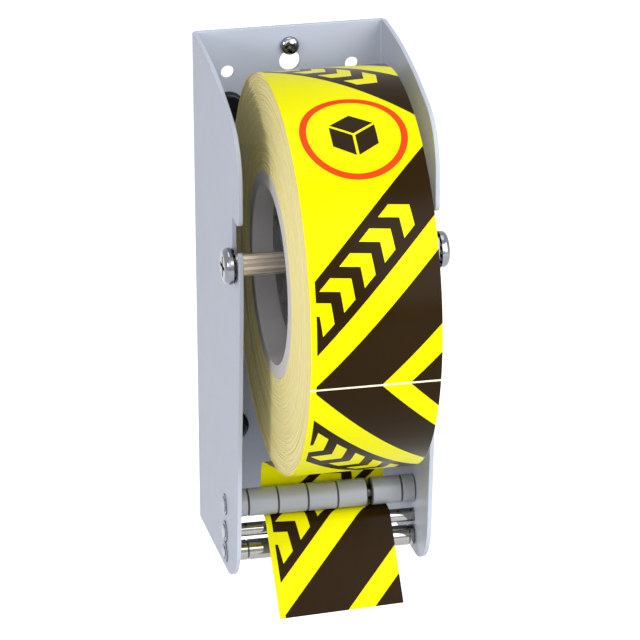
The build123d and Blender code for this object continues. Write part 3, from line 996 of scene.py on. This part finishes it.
class HOLDER_OT_axle(bpy.types.Operator):
    """Finish the axle and its screws, and make its toothed washers"""

    bl_idname = "roll_holder.axle"
    bl_label = "Axle"

    def execute(self, context):
        colours = context.scene.holder_colours
        drawn = bright_bar(
            "axle_bar", colours.axle_steel, roughness=0.26, grain=GRAIN_ALONG, end_colour=colours.rod_end,
            contrast=0.4, metal=0.75,
        )
        finish_nodes(drawn, "axle_rod")
        zinc = plated_steel("axle_screw_zinc", colours.zinc, roughness=0.12)
        finish_nodes(zinc, "axle_screw_left", "axle_screw_right")
        blackened = plated_steel("washer_black", colours.dark_steel, roughness=0.35)
        toothed_washers(context.scene.holder_washer, blackened)
        return {"FINISHED"}


class HOLDER_OT_core(bpy.types.Operator):
    """Finish the hubs and the core"""

    bl_idname = "roll_holder.core"
    bl_label = "Core and hubs"

    def execute(self, context):
        colours = context.scene.holder_colours
        plastic = moulded_plastic("hub_plastic", colours.hub, roughness=0.42, grain=900.0)
        finish_nodes(plastic, "core_hub_left", "core_hub_right")
        finish_nodes(wound_edges("core_board", colours.board, scale=900.0, depth=0.1 * MM), "roll_core")
        return {"FINISHED"}


class HOLDER_OT_labels(bpy.types.Operator):
    """Make the wound labels and the free strip"""

    bl_idname = "roll_holder.labels"
    bl_label = "Labels"

    def execute(self, context):
        scene = context.scene
        colours = scene.holder_colours
        printed = printed_labels(colours, scene.holder_label)
        edges = wound_edges("paper_edges", colours.paper, scale=3200.0, depth=0.12 * MM)
        seam = scene.holder_strip.leave_angle - pi / 2
        wound_roll(scene.holder_roll, seam, printed, edges)
        label_strip(scene.holder_strip, scene.holder_label, printed, backing_paper(colours.liner))
        return {"FINISHED"}


class HOLDER_OT_guides(bpy.types.Operator):
    """Finish the sleeves, the guide rod, the bottom roller and their clips"""

    bl_idname = "roll_holder.guides"
    bl_label = "Guide rollers"

    def execute(self, context):
        colours = context.scene.holder_colours
        ends = sorted({corner.x for sleeve in SLEEVES for corner in box_of(sleeve)})
        nylon = moulded_plastic(
            "sleeve_nylon", colours.sleeve, roughness=0.38, grain=1500.0, dark_joints=ends
        )
        finish_nodes(nylon, *SLEEVES)
        round_bar = {"grain": GRAIN_ROUND, "end_colour": colours.rod_end}
        chrome = bright_bar("chrome", colours.chrome, roughness=0.07, **round_bar)
        polished = ["guide_rod", "roller_tube", "roller_spacer_left", "roller_spacer_right", "roller_shaft"]
        finish_nodes(chrome, *polished)
        black = bright_bar("rod_black", colours.dark_steel, roughness=0.3, **round_bar)
        finish_nodes(black, "sleeve_rod")
        clips = [node for node in frame["nodes"] if "_clip_" in node]
        finish_nodes(plated_steel("clip_steel", colours.clip, roughness=0.4), *clips)
        return {"FINISHED"}


class HOLDER_OT_studio(bpy.types.Operator):
    """Set up the floor, the lights and the camera"""

    bl_idname = "roll_holder.studio"
    bl_label = "Studio"

    def execute(self, context):
        scene = context.scene
        studio = scene.holder_studio
        height = CAD_BOX[0][2] - studio.floor_gap
        half = studio.floor_half
        corners = [(-half, -half, height), (half, -half, height), (half, half, height), (-half, half, height)]
        new_piece("floor", corners, [(0, 1, 2, 3)], [floor_material()])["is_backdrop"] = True
        light("key", place=(-1.6, -1.0, 0.5), size=0.5, power=13.0)
        light("fill", place=(1.2, -1.6, 0.8), size=2.0, power=57.0)
        light("front", place=(0.0, -1.6, 1.1), size=1.6, power=3.5)
        light("left", place=(-0.65, -1.8, 0.9), size=1.0, power=6.0)
        light("top", place=(0.0, 0.1, 1.5), size=1.0, power=6.5)
        scene.world = white_world(studio)
        scene.camera = view_camera(studio)
        scene.view_settings.view_transform = "Standard"
        return {"FINISHED"}


class HOLDER_PT_panel(bpy.types.Panel):
    """Buttons for each group of pieces"""

    bl_label = "Label Roll Holder"
    bl_space_type = "VIEW_3D"
    bl_region_type = "UI"
    bl_category = "Roll Holder"

    def draw(self, context):
        for operator in OPERATORS:
            self.layout.operator(operator.bl_idname)


GROUPS = {
    "holder_colours": FinishColours,
    "holder_label": LabelSizes,
    "holder_roll": RollSizes,
    "holder_washer": WasherSizes,
    "holder_screw": ScrewSizes,
    "holder_strip": StripSizes,
    "holder_studio": StudioSettings,
}
OPERATORS = (
    HOLDER_OT_bracket,
    HOLDER_OT_fixings,
    HOLDER_OT_axle,
    HOLDER_OT_core,
    HOLDER_OT_labels,
    HOLDER_OT_guides,
    HOLDER_OT_studio,
)


def register():
    for group in GROUPS.values():
        bpy.utils.register_class(group)
    for name, group in GROUPS.items():
        setattr(bpy.types.Scene, name, PointerProperty(type=group))
    for operator in OPERATORS:
        bpy.utils.register_class(operator)
    bpy.utils.register_class(HOLDER_PT_panel)


def unregister():
    bpy.utils.unregister_class(HOLDER_PT_panel)
    for operator in reversed(OPERATORS):
        bpy.utils.unregister_class(operator)
    for name in GROUPS:
        delattr(bpy.types.Scene, name)
    for group in reversed(GROUPS.values()):
        bpy.utils.unregister_class(group)


def main():
    register()
    bpy.ops.roll_holder.bracket()
    bpy.ops.roll_holder.fixings()
    bpy.ops.roll_holder.axle()
    bpy.ops.roll_holder.core()
    bpy.ops.roll_holder.labels()
    bpy.ops.roll_holder.guides()
    bpy.ops.roll_holder.studio()
    boxes = {"cad": CAD_BOX, "visual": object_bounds()}
    plain = {name: [list(map(float, corner)) for corner in box] for name, box in boxes.items()}


if __name__ == "__main__":
    main()
